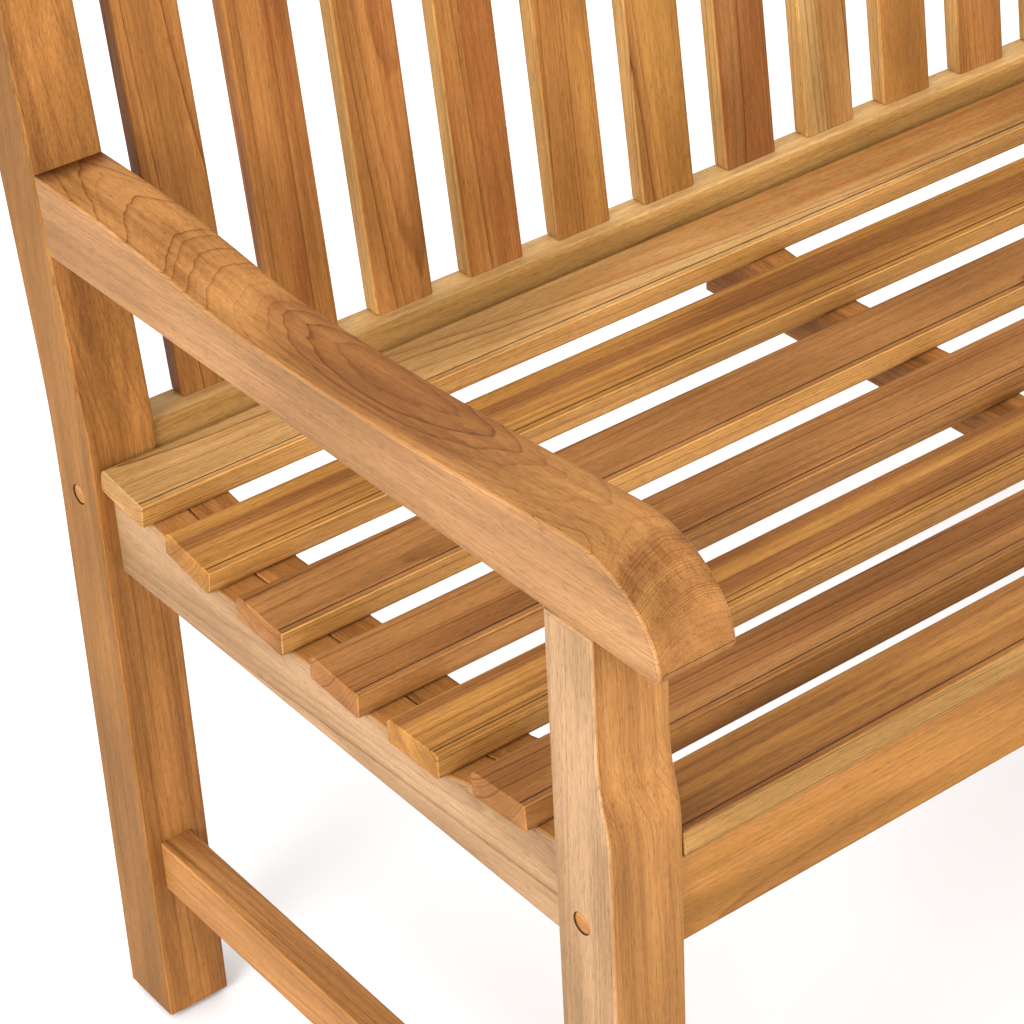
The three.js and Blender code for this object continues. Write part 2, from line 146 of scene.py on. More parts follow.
def anticlockwise(points):
    y, z = points[:, 0], points[:, 1]
    area = np.sum(y * np.roll(z, -1) - np.roll(y, -1) * z) / 2
    return points if area > 0 else points[::-1]


def inset(points, distance):
    """The outline moved inwards by distance, with mitred corners."""
    before = points - np.roll(points, 1, 0)
    after = np.roll(points, -1, 0) - points
    before /= np.linalg.norm(before, axis=1)[:, None]
    after /= np.linalg.norm(after, axis=1)[:, None]
    n1 = np.stack([-before[:, 1], before[:, 0]], 1)
    n2 = np.stack([-after[:, 1], after[:, 0]], 1)
    share = np.maximum(1 + np.sum(n1 * n2, 1), 0.4)[:, None]  # 0.4 keeps sharp mitres short
    return points + distance * (n1 + n2) / share


# --- Boards -------------------------------------------------------------------------------------

def loft(name, rings):
    """A closed mesh through rings of equal count, with flat ends."""
    count = len(rings[0])
    verts = np.concatenate(rings)
    faces = []
    for k in range(len(rings) - 1):
        a, b = k * count, (k + 1) * count
        for i in range(count):
            j = (i + 1) % count
            faces.append((a + i, a + j, b + j, b + i))
    faces.append(tuple(range(count))[::-1])
    faces.append(tuple(range((len(rings) - 1) * count, len(rings) * count)))
    mesh = bpy.data.meshes.new(name)
    mesh.from_pydata([tuple(v) for v in verts], [], faces)
    mesh.update()
    return mesh


def extruded(name, outline, x_range, arris):
    """A board with a side view in the YZ plane, extruded along X, its two end outlines rounded."""
    outline = anticlockwise(outline)
    x0, x1 = x_range
    profile = []
    for k in range(ARC_STEPS + 1):
        angle = math.pi / 2 * k / ARC_STEPS
        profile.append((arris * (1 - math.sin(angle)), arris * (1 - math.cos(angle))))
    sections = [(x0 + step, depth) for depth, step in profile]
    sections += [(x1 - step, depth) for depth, step in reversed(profile)]
    rings = []
    for x, depth in sections:
        yz = inset(outline, depth) if depth > 1e-9 else outline
        rings.append(np.column_stack([np.full(len(yz), x), yz]))
    return loft(name, rings)


def drill_bit(place, x_range, radius):
    """A cylinder along X over x_range, at the given (y, z) place."""
    mesh = bpy.data.meshes.new("drill_bit")
    shape = bmesh.new()
    x0, x1 = x_range
    lie_down = Matrix.Translation(((x0 + x1) / 2, *place)) @ Matrix.Rotation(math.pi / 2, 4, "Y")
    bmesh.ops.create_cone(
        shape, cap_ends=True, segments=HOLE_SEGMENTS, radius1=radius, radius2=radius,
        depth=x1 - x0, matrix=lie_down,
    )
    shape.to_mesh(mesh)
    shape.free()
    return bpy.data.objects.new("drill_bit", mesh)


def drilled(mesh, place, x_range, radius):
    """The board with a round hole along X at the given (y, z) place."""
    board = bpy.data.objects.new("undrilled", mesh)
    bit = drill_bit(place, x_range, radius)
    for helper in (board, bit):
        bpy.context.scene.collection.objects.link(helper)
    cut = board.modifiers.new("drill", "BOOLEAN")
    cut.operation = "DIFFERENCE"
    cut.solver = "EXACT"
    cut.object = bit
    graph = bpy.context.evaluated_depsgraph_get()
    result = bpy.data.meshes.new_from_object(board.evaluated_get(graph))
    result.name = mesh.name + "_drilled"
    for helper in (board, bit):
        bpy.data.objects.remove(helper)
    return result


# --- What the wood material needs to know about each board --------------------------------------

SEED_STEP = 3.7  # metres along the noise from one seed to the next
SIDE_LIGHT_STREAK = 0.85  # a streak's colour on a face of painted side light and shade, as a share of that face's own

# Cosines of the angle between a face's normal and a direction.
SQUARE_TO_X = 0.1  # below it the face runs along X
FACES_SIDE = 0.7  # above it the face takes the painted side light and shade
END_GRAIN_FROM, END_GRAIN_RISE = 0.6, 0.3  # where end grain starts, and how much further on it is full


def store(mesh, name, kind, values, domain="POINT"):
    attribute = mesh.attributes.new(name, kind, domain)
    field = {"FLOAT": "value", "FLOAT_VECTOR": "vector", "FLOAT_COLOR": "color"}[kind]
    attribute.data.foreach_set(field, np.asarray(values, np.float32).ravel())


def vertex_rows(mesh, field):
    """The vertices' places ("co") or normals ("normal"), one row each."""
    values = np.empty(len(mesh.vertices) * 3, np.float32)
    mesh.vertices.foreach_get(field, values)
    return values.reshape(-1, 3)


def length_of(mesh, key):
    a, b = (mesh.vertices[i].co for i in key)
    return (a - b).length


def arris_lines(mesh):
    """Per face corner: dark where a rounded edge starts, falling to a lighter middle, wear and a painted
    highlight together.
    """
    narrow = [
        len(face.vertices) == 4 and min(length_of(mesh, key) for key in face.edge_keys) < NARROW
        for face in mesh.polygons
    ]
    beside_wide = {v for face, thin in zip(mesh.polygons, narrow) if not thin for v in face.vertices}
    values = np.zeros(len(mesh.loops))
    for face, thin in zip(mesh.polygons, narrow):
        if thin:
            lengthwise = abs(face.normal[0]) < SQUARE_TO_X
            start = LONG_EDGE_LINE if lengthwise else END_EDGE_LINE
            for loop in face.loop_indices:
                at_start = mesh.loops[loop].vertex_index in beside_wide
                values[loop] = start if at_start else WEAR_AND_HIGHLIGHT_MIDDLE
    return values


def colours_with_side_light(mesh, colour, outer, outer_side):
    """Per face corner: the board's own colour, or, on the faces square to the given axis, another colour
    painted for the light and shade on that side.
    """
    colours = np.tile([*colour, 1.0], (len(mesh.loops), 1))
    for face in mesh.polygons:
        if abs(np.array(face.normal) @ outer_side) > FACES_SIDE:
            colours[list(face.loop_indices), :3] = outer
    return colours


def places_in_log(mesh, board_look, along, across):
    """Per vertex: its place along the log, and how far it lies off the pith, across and through."""
    co = vertex_rows(mesh, "co").astype(float)
    through = np.cross(along, across)
    centre = (co.min(0) + co.max(0)) / 2
    s = (co - centre) @ along
    v = (co - centre) @ across - board_look["pith"][0] * MM + board_look["tilt"][0] * s
    w = (co - centre) @ through - board_look["pith"][1] * MM + board_look["tilt"][1] * s
    return np.stack([s + SEED_STEP * board_look["seed"], v, w], 1)


def end_grain_share(mesh, along):
    """Per vertex: 0 on the sides of the board, 1 on its ends."""
    facing_end = np.abs(vertex_rows(mesh, "normal") @ along)
    return np.clip((facing_end - END_GRAIN_FROM) / END_GRAIN_RISE, 0, 1)


def finish_board(mesh, nodes, slot, board_look, along, across):
    """Stores what the wood material reads, and makes the board a piece of the model."""
    count = len(mesh.vertices)
    along = along / np.linalg.norm(along)
    across = across / np.linalg.norm(across)
    tint, streak = board_look["tint"], board_look["streak"]
    # The side colour paints light and shade: the faces along one axis take it in place of the board's own
    # colour.
    outer, side = board_look["outer"], board_look["outer_side"]
    outer_streak = streak if outer is tint else tuple(SIDE_LIGHT_STREAK * c for c in outer)
    store(mesh, "grain", "FLOAT_VECTOR", places_in_log(mesh, board_look, along, across))
    store(mesh, "tint", "FLOAT_COLOR", colours_with_side_light(mesh, tint, outer, side), "CORNER")
    store(mesh, "streak", "FLOAT_COLOR", colours_with_side_light(mesh, streak, outer_streak, side), "CORNER")
    store(mesh, "figure", "FLOAT_VECTOR", np.tile(board_look["figure"], (count, 1)))
    store(mesh, "band", "FLOAT", np.full(count, board_look["band"] * MM))
    store(mesh, "arris", "FLOAT", arris_lines(mesh), "CORNER")
    store(mesh, "end_grain", "FLOAT", end_grain_share(mesh, along))
    mesh.polygons.foreach_set("use_smooth", [True] * len(mesh.polygons))
    mesh.materials.append(WOOD[slot])
    piece = bpy.data.objects.new(mesh.name, mesh)
    bpy.context.scene.collection.objects.link(piece)
    normal = piece.modifiers.new("weighted_normals", "WEIGHTED_NORMAL")
    normal.weight = 100
    normal.keep_sharp = True
    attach(piece, BODY)
    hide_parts(*nodes)


# --- Shader nodes -------------------------------------------------------------------------------

def add_node(tree, kind, inputs=None, **settings):
    made = tree.nodes.new(kind)
    for key, value in settings.items():
        setattr(made, key, value)
    for socket, value in (inputs or {}).items():
        if isinstance(value, bpy.types.NodeSocket):
            tree.links.new(value, made.inputs[socket])
        else:
            made.inputs[socket].default_value = value
    return made


def maths(tree, operation, a, b=0.0, clamp=False):
    made = add_node(tree, "ShaderNodeMath", {0: a, 1: b}, operation=operation, use_clamp=clamp)
    return made.outputs[0]


def vector_maths(tree, operation, a, b):
    return add_node(tree, "ShaderNodeVectorMath", {0: a, 1: b}, operation=operation).outputs[0]


def scaled(tree, vector, factors):
    return vector_maths(tree, "MULTIPLY", vector, factors)


def joined(tree, *parts):
    return add_node(tree, "ShaderNodeCombineXYZ", dict(enumerate(parts))).outputs[0]


def noise(tree, vector, detail=2.0, rough=0.5):
    """The value and the colour of a noise."""
    inputs = {"Vector": vector, "Scale": 1.0, "Detail": detail, "Roughness": rough}
    made = add_node(tree, "ShaderNodeTexNoise", inputs)
    return made.outputs[0], made.outputs[1]


def span(tree, value, low, high, to_low=0.0, to_high=1.0):
    """A smooth step: to_low up to low, to_high from high on."""
    made = add_node(
        tree,
        "ShaderNodeMapRange",
        {"Value": value, "From Min": low, "From Max": high, "To Min": to_low, "To Max": to_high},
        interpolation_type="SMOOTHSTEP",
    )
    return made.outputs[0]


def blend_colour(tree, factor, a, b, mode="MIX"):
    made = add_node(tree, "ShaderNodeMix", {0: factor, 6: a, 7: b}, data_type="RGBA", blend_type=mode)
    return made.outputs[2]


def attribute(tree, name, output):
    return add_node(tree, "ShaderNodeAttribute", attribute_name=name).outputs[output]


# --- Wood material ------------------------------------------------------------------------------

# Noise scales, per metre: along the board, across it and through it.
LONG_WAVE = (1.6, 16.0, 16.0)
SHORT_WAVE = (9.0, 90.0, 90.0)
NARROW_STREAKS = (2.0, 230.0, 230.0)
FIBRES = (34.0, 1150.0, 1150.0)
DASHES = (150.0, 1000.0, 1000.0)
PORES = (120.0, 1700.0, 1700.0)
CLOUDS = (5.0, 30.0, 30.0)

# How far the rings wander, in metres.
LONG_REACH = (0.0, 0.007, 0.007)
SHORT_REACH = (0.0, 0.0012, 0.0012)

# Factors on the colour.
RING_LINE = (0.40, 0.27, 0.18, 1.0)
PALE_CLOUD = (1.09, 1.16, 1.32, 1.0)
END_GRAIN = (0.92, 0.90, 0.92, 1.0)
PORE_DARKENING = 0.25
ARRIS_DARKENING = 0.45

UNEVEN_RINGS = 3.0  # ring widths by which the spacing varies
BAND_CORE, BAND_EDGE = 0.0025, 0.0050  # metres off the middle of a browner band
BAND_DEPTH = 0.7
OILED_SPECULAR = 0.09


def off_centre(tree, wave, reach):
    """A noise colour turned into a shift of up to half of reach to either side."""
    return scaled(tree, vector_maths(tree, "SUBTRACT", wave, (0.5, 0.5, 0.5)), reach)


def wandering(tree, grain):
    """The log is not a perfect cone: its rings wander on a long and on a short scale."""
    long_wave = noise(tree, scaled(tree, grain, LONG_WAVE), 1.0)[1]
    short_wave = noise(tree, scaled(tree, grain, SHORT_WAVE), 2.0)[1]
    bent = vector_maths(tree, "ADD", grain, off_centre(tree, long_wave, LONG_REACH))
    return vector_maths(tree, "ADD", bent, off_centre(tree, short_wave, SHORT_REACH))


def ring_lines(tree, radius, along, ring_width):
    """Growth rings: a slow rise to dark late wood and a sharp fall, unevenly spaced, some faint."""
    ring_place = joined(tree, maths(tree, "MULTIPLY", radius, 110.0), maths(tree, "MULTIPLY", along, 0.35))
    uneven = noise(tree, ring_place, 2.0)[0]
    phase = maths(tree, "DIVIDE", radius, ring_width)
    phase = maths(tree, "ADD", phase, maths(tree, "MULTIPLY", uneven, UNEVEN_RINGS))
    ring = maths(tree, "FRACT", phase)
    late = span(tree, ring, 0.30, 0.95, 0.0, 0.45)
    late = maths(tree, "ADD", late, span(tree, ring, 0.78, 0.92, 0.0, 0.55))
    line = maths(tree, "MULTIPLY", late, span(tree, ring, 0.93, 1.0, 1.0, 0.0))
    number = maths(tree, "FLOOR", phase)
    chance = add_node(tree, "ShaderNodeTexWhiteNoise", {"W": number}, noise_dimensions="1D").outputs[0]
    return maths(tree, "MULTIPLY", line, span(tree, chance, 0.15, 1.0, 0.12, 1.0))


def heartwood(tree, bent, radius, along, across, streak_depth):
    """Share of the streak colour: broad streaks follow the rings, narrow ones the fibres."""
    broad_place = joined(
        tree,
        maths(tree, "MULTIPLY", radius, 60.0),
        maths(tree, "MULTIPLY", along, 0.9),
        maths(tree, "MULTIPLY", across, 10.0),
    )
    broad = noise(tree, broad_place, 3.0, 0.55)[0]
    narrow = noise(tree, scaled(tree, bent, NARROW_STREAKS), 3.0, 0.6)[0]
    heart = maths(tree, "MULTIPLY", span(tree, broad, 0.44, 0.58), streak_depth)
    heart = maths(tree, "ADD", heart, span(tree, narrow, 0.42, 0.66, -0.1, 0.45))
    off_band = maths(tree, "ABSOLUTE", maths(tree, "SUBTRACT", radius, attribute(tree, "band", "Fac")))
    in_band = span(tree, off_band, BAND_CORE, BAND_EDGE, BAND_DEPTH, 0.0)
    return maths(tree, "ADD", heart, in_band, clamp=True)


def fine_grain(tree, grain):
    """Fibres, short dashes, pores and paler clouds, all drawn out along the board."""
    fibre = noise(tree, scaled(tree, grain, FIBRES), 3.0, 0.7)[0]
    dash = noise(tree, scaled(tree, grain, DASHES), 2.0, 0.6)[0]
    pores = span(tree, noise(tree, scaled(tree, grain, PORES), 1.0)[0], 0.58, 0.70)
    cloud = noise(tree, scaled(tree, grain, CLOUDS), 2.0)[0]
    return fibre, dash, pores, cloud


def less_by(tree, share, depth):
    """1 minus a share times a depth."""
    return maths(tree, "SUBTRACT", 1.0, maths(tree, "MULTIPLY", share, depth))


def fine_shade(tree, fibre, dash, pores, cloud):
    """Grey factor of the fine grain and of the lines along the rounded edges."""
    shade = span(tree, fibre, 0.28, 0.72, 0.86, 1.12)
    shade = maths(tree, "MULTIPLY", shade, span(tree, dash, 0.3, 0.7, 0.93, 1.06))
    shade = maths(tree, "MULTIPLY", shade, span(tree, cloud, 0.3, 0.7, 0.80, 1.14))
    shade = maths(tree, "MULTIPLY", shade, less_by(tree, pores, PORE_DARKENING))
    # The rounded edges darken where they start and lighten along the middle, wear and painted highlight
    # together.
    arris = attribute(tree, "arris", "Fac")
    shade = maths(tree, "MULTIPLY", shade, less_by(tree, arris, ARRIS_DARKENING))
    return add_node(tree, "ShaderNodeCombineColor", {0: shade, 1: shade, 2: shade}).outputs[0]


def relief(tree, fibre, dash, pores, ring_line):
    """Normals of a planed surface with open grain."""
    height = maths(tree, "ADD", maths(tree, "MULTIPLY", fibre, 0.5), maths(tree, "MULTIPLY", dash, 0.3))
    height = maths(tree, "SUBTRACT", height, maths(tree, "MULTIPLY", pores, 0.6))
    height = maths(tree, "SUBTRACT", height, maths(tree, "MULTIPLY", ring_line, 0.25))
    bump = {"Strength": 0.5, "Distance": 0.0003, "Height": height}
    return add_node(tree, "ShaderNodeBump", bump).outputs[0]


def wood_material(name):
    """Solid wood: growth rings round the pith, streaks, pores and fibres, all along the board."""
    material = bpy.data.materials.new(name)
    material.use_nodes = True
    tree = material.node_tree
    shader = tree.nodes["Principled BSDF"]
    grain = attribute(tree, "grain", "Vector")
    figure = add_node(tree, "ShaderNodeSeparateXYZ", {0: attribute(tree, "figure", "Vector")})
    ring_depth, streak_depth, ring_width = figure.outputs
    end_grain = attribute(tree, "end_grain", "Fac")

    bent = wandering(tree, grain)
    along, across, _ = add_node(tree, "ShaderNodeSeparateXYZ", {0: bent}).outputs
    off_pith = scaled(tree, bent, (0.0, 1.0, 1.0))
    radius = add_node(tree, "ShaderNodeVectorMath", {0: off_pith}, operation="LENGTH").outputs["Value"]
    ring_line = ring_lines(tree, radius, along, ring_width)
    heart = heartwood(tree, bent, radius, along, across, streak_depth)
    heart = maths(tree, "MULTIPLY", heart, span(tree, end_grain, 0.0, 1.0, 1.0, 0.45))
    fibre, dash, pores, cloud = fine_grain(tree, grain)

    colour = blend_colour(tree, heart, attribute(tree, "tint", "Color"), attribute(tree, "streak", "Color"))
    dark_line = maths(tree, "MULTIPLY", ring_line, ring_depth)
    colour = blend_colour(tree, dark_line, colour, RING_LINE, "MULTIPLY")
    paler = blend_colour(tree, 1.0, colour, PALE_CLOUD, "MULTIPLY")
    colour = blend_colour(tree, span(tree, cloud, 0.42, 0.68, 0.0, 0.7), colour, paler)
    colour = blend_colour(tree, 1.0, colour, fine_shade(tree, fibre, dash, pores, cloud), "MULTIPLY")
    end_colour = blend_colour(tree, 1.0, colour, END_GRAIN, "MULTIPLY")
    colour = blend_colour(tree, end_grain, colour, end_colour)
    tree.links.new(colour, shader.inputs["Base Color"])

    rough = span(tree, fibre, 0.2, 0.8, 0.44, 0.60)
    rough = maths(tree, "ADD", rough, maths(tree, "MULTIPLY", end_grain, 0.15))
    tree.links.new(rough, shader.inputs["Roughness"])
    tree.links.new(relief(tree, fibre, dash, pores, ring_line), shader.inputs["Normal"])
    shader.inputs["Specular IOR Level"].default_value = OILED_SPECULAR
    return material


SPECK_CONTRAST = 0.25
SPECK_ROUGHNESS = 0.08


def plain_material(name, colour, roughness, metallic, speck_scale):
    """Moulded or plated surface with a fine speckle in colour and roughness."""
    material = bpy.data.materials.new(name)
    material.use_nodes = True
    tree = material.node_tree
    shader = tree.nodes["Principled BSDF"]
    place = add_node(tree, "ShaderNodeTexCoord").outputs["Object"]
    speck = noise(tree, scaled(tree, place, (speck_scale,) * 3), 3.0)[0]
    darker = tuple(c * (1 - SPECK_CONTRAST) for c in colour) + (1.0,)
    lighter = tuple(min(1.0, c * (1 + SPECK_CONTRAST)) for c in colour) + (1.0,)
    tree.links.new(blend_colour(tree, speck, darker, lighter), shader.inputs["Base Color"])
    uneven = span(tree, speck, 0.2, 0.8, roughness - SPECK_ROUGHNESS, roughness + SPECK_ROUGHNESS)
    tree.links.new(uneven, shader.inputs["Roughness"])
    bump = add_node(tree, "ShaderNodeBump", {"Strength": 0.2, "Distance": 0.0001, "Height": speck})
    tree.links.new(bump.outputs[0], shader.inputs["Normal"])
    shader.inputs["Metallic"].default_value = metallic
    return material


WOOD = {slot: wood_material(slot) for slot in ("frame_wood", "seat_wood", "back_wood", "plug_wood")}
BOLT_STEEL = plain_material(
    "bolt_steel", (0.62, 0.63, 0.64), roughness=0.35, metallic=1.0, speck_scale=400.0
)
GLIDE_PLASTIC = plain_material(
    "glide_plastic", (0.02, 0.02, 0.02), roughness=0.45, metallic=0.0, speck_scale=900.0
)

# --- Colours, figures and looks -----------------------------------------------------------------

# ROSE, PEACH, UMBER, HAY and OCHRE colour only the faces of one side of a board, as painted light and shade.
CREAM = (0.50, 0.295, 0.105)
PALE = (0.42, 0.235, 0.080)
HONEY = (0.350, 0.158, 0.034)
TAN = (0.325, 0.142, 0.038)
AMBER = (0.335, 0.137, 0.033)
BROWN = (0.205, 0.077, 0.019)
RUST = (0.225, 0.070, 0.016)
ROSE = (0.295, 0.167, 0.078)
PEACH = (0.305, 0.150, 0.057)
UMBER = (0.225, 0.095, 0.021)
GOLD = (0.300, 0.125, 0.024)
HAY = (0.470, 0.225, 0.058)
CLAY = (0.275, 0.118, 0.033)
OCHRE = (0.380, 0.195, 0.054)

# A figure is the depth of the rings, the depth of the heartwood streaks and the ring width in metres.
EVEN = (0.7, 0.8, 0.0022)
FINE = (0.5, 0.6, 0.0020)
NESTED = (0.85, 0.40, 0.0009)
FLAT = (0.95, 0.75, 0.0020)
RIFT = (0.9, 0.9, 0.0026)
NO_BAND = -100  # a radius that no board reaches


def look(
    seed, tint, streak, pith=(14, 60), tilt=(0.01, 0.02), figure=EVEN,
    outer=None, outer_side=ALONG_X, band=NO_BAND,
):
    """What differs from board to board.

    pith is how far the middle of the log lies off the board's middle, across and through it in mm,
    and tilt how fast it drifts along the board. The colour given for the faces square to the side
    axis is painted light and shade: lighter where light falls on that side, darker where it lies in
    shade. band is the radius of a browner band in mm."""
    return {
        "seed": seed,
        "tint": tint,
        "streak": streak,
        "pith": pith,
        "tilt": tilt,
        "figure": figure,
        "outer": outer or tint,
        "outer_side": outer_side,
        "band": band,
    }


# In the looks below, the colour given for a board's side faces is painted light and shade: lighter where
# light falls on that side, darker where it lies in shade.
POST_LOOKS = {
    "left": look(1, AMBER, BROWN, (70, 50), (0.006, 0.01), FINE, UMBER),
    "right": look(2, AMBER, BROWN, (-70, 50), (0.006, 0.01), FINE, UMBER),
}
LEG_LOOKS = {
    "left": look(3, TAN, BROWN, (45, 40), (0.01, 0.015), FINE, ROSE),
    "right": look(4, TAN, BROWN, (-45, 40), (0.012, 0.01), FINE, ROSE),
}
ARM_LOOKS = {
    "left": look(5, TAN, BROWN, (3, 70), (0.004, -0.032), NESTED, PEACH, band=82),
    "right": look(6, TAN, BROWN, (-3, 70), (0.004, -0.032), NESTED, PEACH, band=82),
}
# Seat slats: their fronts take a lighter colour, painted light falling from the front.
SEAT_LOOKS = [
    look(11, PALE, AMBER, (5, 90), (0.004, 0.012), FLAT, HAY, TO_BACK),
    look(82, HONEY, BROWN, (50, 45), (0.006, 0.01), RIFT, HAY, TO_BACK),
    look(93, CLAY, BROWN, (-18, 70), (0.006, 0.01), FLAT, HAY, TO_BACK),
    look(14, CLAY, BROWN, (45, 40), (0.006, 0.01), RIFT, TAN, TO_BACK),
    look(15, HONEY, BROWN, (-40, 35), (0.004, 0.01), RIFT, HAY, TO_BACK),
    look(16, CLAY, BROWN, (35, 30), (0.006, 0.01), RIFT, TAN, TO_BACK),
    look(17, HONEY, BROWN, (8, 80), (0.004, 0.014), FLAT, OCHRE, TO_BACK),
]
SIDE_RAIL_LOOK = look(21, TAN, AMBER, (10, 60), outer=ROSE)
CLEAT_LOOK = look(22, AMBER, BROWN, (60, 60), figure=FINE)
BEARER_LOOK = look(23, AMBER, BROWN, (10, 60))
FRONT_RAIL_LOOK = look(24, GOLD, AMBER, (-30, 55), figure=FINE)
STRETCHER_LOOK = look(25, TAN, BROWN, (9, 50))
# The rear rail's front face takes a darker colour, painted shade under the seat's rear edge.
REAR_RAIL_LOOK = look(26, CREAM, PALE, (10, 60), figure=FINE, outer=OCHRE, outer_side=TO_BACK)
TOP_RAIL_LOOK = look(27, TAN, BROWN, (12, 60))
# Back slats: their side faces take lighter colours as painted light, and the first slat's a darker one as
# painted shade.
BACK_LOOKS = [
    look(31, AMBER, BROWN, (30, 40), figure=RIFT, outer=BROWN),
    look(32, AMBER, RUST, (-45, 30), figure=RIFT),
    look(33, AMBER, RUST, (12, 60), figure=FLAT, outer=OCHRE),
    look(34, AMBER, RUST, (34, 40), figure=RIFT, outer=OCHRE),
    look(35, HONEY, AMBER, (-44, 50), figure=FLAT, outer=OCHRE),
    look(36, HONEY, BROWN, (8, 70), figure=FLAT, outer=OCHRE),
    look(37, CLAY, RUST, (-36, 45), figure=RIFT, outer=OCHRE),
    look(38, PALE, AMBER, (40, 50), figure=RIFT, outer=OCHRE),
    look(39, HONEY, AMBER, (-9, 65), figure=FLAT, outer=OCHRE),
    look(40, AMBER, BROWN, (47, 50), figure=RIFT, outer=OCHRE),
    look(41, AMBER, RUST, (-42, 60), figure=RIFT, outer=OCHRE),
    look(42, TAN, RUST, (5, 75), figure=FLAT, outer=OCHRE),
]
PLUG_LOOK = look(51, TAN, BROWN, (40, 30), figure=FINE)


# --- Posts, legs and arms -----------------------------------------------------------------------

LEAN = math.radians(6.65)
KINK_HEIGHT = 472 * MM


def post_outline():
    """A straight foot, a bend at the seat and a leaning upper part with a crowned top."""
    low, high = box("rear_post_left")
    front, foot, top = low[1], low[2], high[2]
    slope = math.tan(LEAN)
    foot_depth, seat_depth, top_depth, crown = 50.5 * MM, 45 * MM, 44 * MM, 10 * MM
    rear_bend, front_bend = 60 * MM, 12 * MM  # half the height of each bend
    top_front = front + slope * (top - KINK_HEIGHT)
    top_rear = top_front + top_depth
    bend_high = KINK_HEIGHT + rear_bend
    rear_high = top_rear - slope * (top - bend_high)
    seat_rear = (front + seat_depth, KINK_HEIGHT - rear_bend)
    points = [(front, foot), (front + foot_depth, foot), seat_rear]
    kink = (front + seat_depth, KINK_HEIGHT)
    points += bezier(seat_rear, kink, kink, (rear_high, bend_high), 10)
    corner = (top_rear, top)
    points += arc_corner(points[-1], corner, (top_front, top), crown, 8)
    points += arc_corner(corner, (top_front, top), (front, KINK_HEIGHT), crown, 8)
    start = (front + slope * front_bend, KINK_HEIGHT + front_bend)
    points.append(start)
    kink = (front, KINK_HEIGHT)
    points += bezier(start, kink, kink, (front, KINK_HEIGHT - front_bend), 4)
    return np.array(points)


def leg_outline():
    """A square leg whose front face steps back, in a soft curve, above the seat."""
    low, high = box("front_leg_left")
    front, rear, foot = low[1], high[1], low[2]
    top = box("arm_left")[0][2] - JOINT_GAP
    step = 8.1 * MM
    step_low, step_high = 466 * MM, 524 * MM
    step_start = (front + step, step_high)
    points = [(front, foot), (rear, foot), (rear, top), (front + step, top), step_start]
    upper_pull = (front + step, step_high - 28 * MM)
    lower_pull = (front, step_low + 20 * MM)
    points += bezier(step_start, upper_pull, lower_pull, (front, step_low), 12)
    return np.array(points)


def arm_outline():
    """A flat underside, and a top that dips from the post and rises to a crest and a round nose."""
    low = box("arm_left")[0]
    post_front = box("rear_post_left")[0][1]
    nose, underside = low[1], low[2]
    slope = math.tan(LEAN)

    def at(back, up):
        return nose + back * MM, underside + up * MM

    def butt(z):
        return post_front + slope * (z - KINK_HEIGHT) - JOINT_GAP

    tip, crest, waist, shoulder = at(0.6, 7), at(69, 51.6), at(344, 37), at(440, 45.2)
    rear_top = underside + 50.4 * MM
    start = (butt(rear_top), rear_top)
    points = [(butt(underside), underside), start]
    points += bezier(
        start, (start[0] - 80 * MM, rear_top), (start[0] - 105 * MM, underside + 47 * MM), shoulder, 12
    )
    points += bezier(
        shoulder, (shoulder[0] - 31 * MM, underside + 42.6 * MM), (waist[0] + 40 * MM, waist[1]), waist, 10
    )
    points += bezier(
        waist, (waist[0] - 110 * MM, waist[1]), (crest[0] + 90 * MM, underside + 43.6 * MM), crest, 20
    )
    points += bezier(crest, at(38, 54), at(5, 36.6), tip, 20)
    points += arc_corner(tip, (nose, underside), (butt(underside), underside), 6 * MM, 6)
    return np.array(points)


def plug_hole(mesh, side, end):
    """The counterbored hole that the plug sits in, a little below the surface."""
    (x0, y0, z0), (x1, y1, z1) = box(f"{end}_plug_{side}")
    radius = (z1 - z0) / 2 + JOINT_GAP
    outside = 2 * MM
    reach = (x0 - outside, x1) if x0 < 0 else (x0, x1 + outside)
    return drilled(mesh, ((y0 + y1) / 2, (z0 + z1) / 2), reach, radius)


def post(side):
    mesh = extruded(f"post_{side}", post_outline(), x_of(f"rear_post_{side}"), TIMBER_ARRIS)
    mesh = plug_hole(mesh, side, "rear")
    finish_board(mesh, [f"rear_post_{side}"], "frame_wood", POST_LOOKS[side], UP, ALONG_X)


def leg(side):
    mesh = extruded(f"leg_{side}", leg_outline(), x_of(f"front_leg_{side}"), TIMBER_ARRIS)
    mesh = plug_hole(mesh, side, "front")
    finish_board(mesh, [f"front_leg_{side}"], "frame_wood", LEG_LOOKS[side], UP, ALONG_X)


def arm(side):
    mesh = extruded(f"armrest_{side}", arm_outline(), x_of(f"arm_{side}"), TIMBER_ARRIS)
    finish_board(mesh, [f"arm_{side}"], "frame_wood", ARM_LOOKS[side], TO_BACK, ALONG_X)


for side in SIDES:
    post(side)
    leg(side)
    arm(side)

# --- Seat slats ---------------------------------------------------------------------------------

GROOVE_SHADE_BACK = 4.0 * MM  # from the front edge of a slat to the fine dark line along it, painted shade in place of a groove
GROOVE_SHADE_WIDTH = 1.1 * MM  # below NARROW, so that arris_lines darkens it


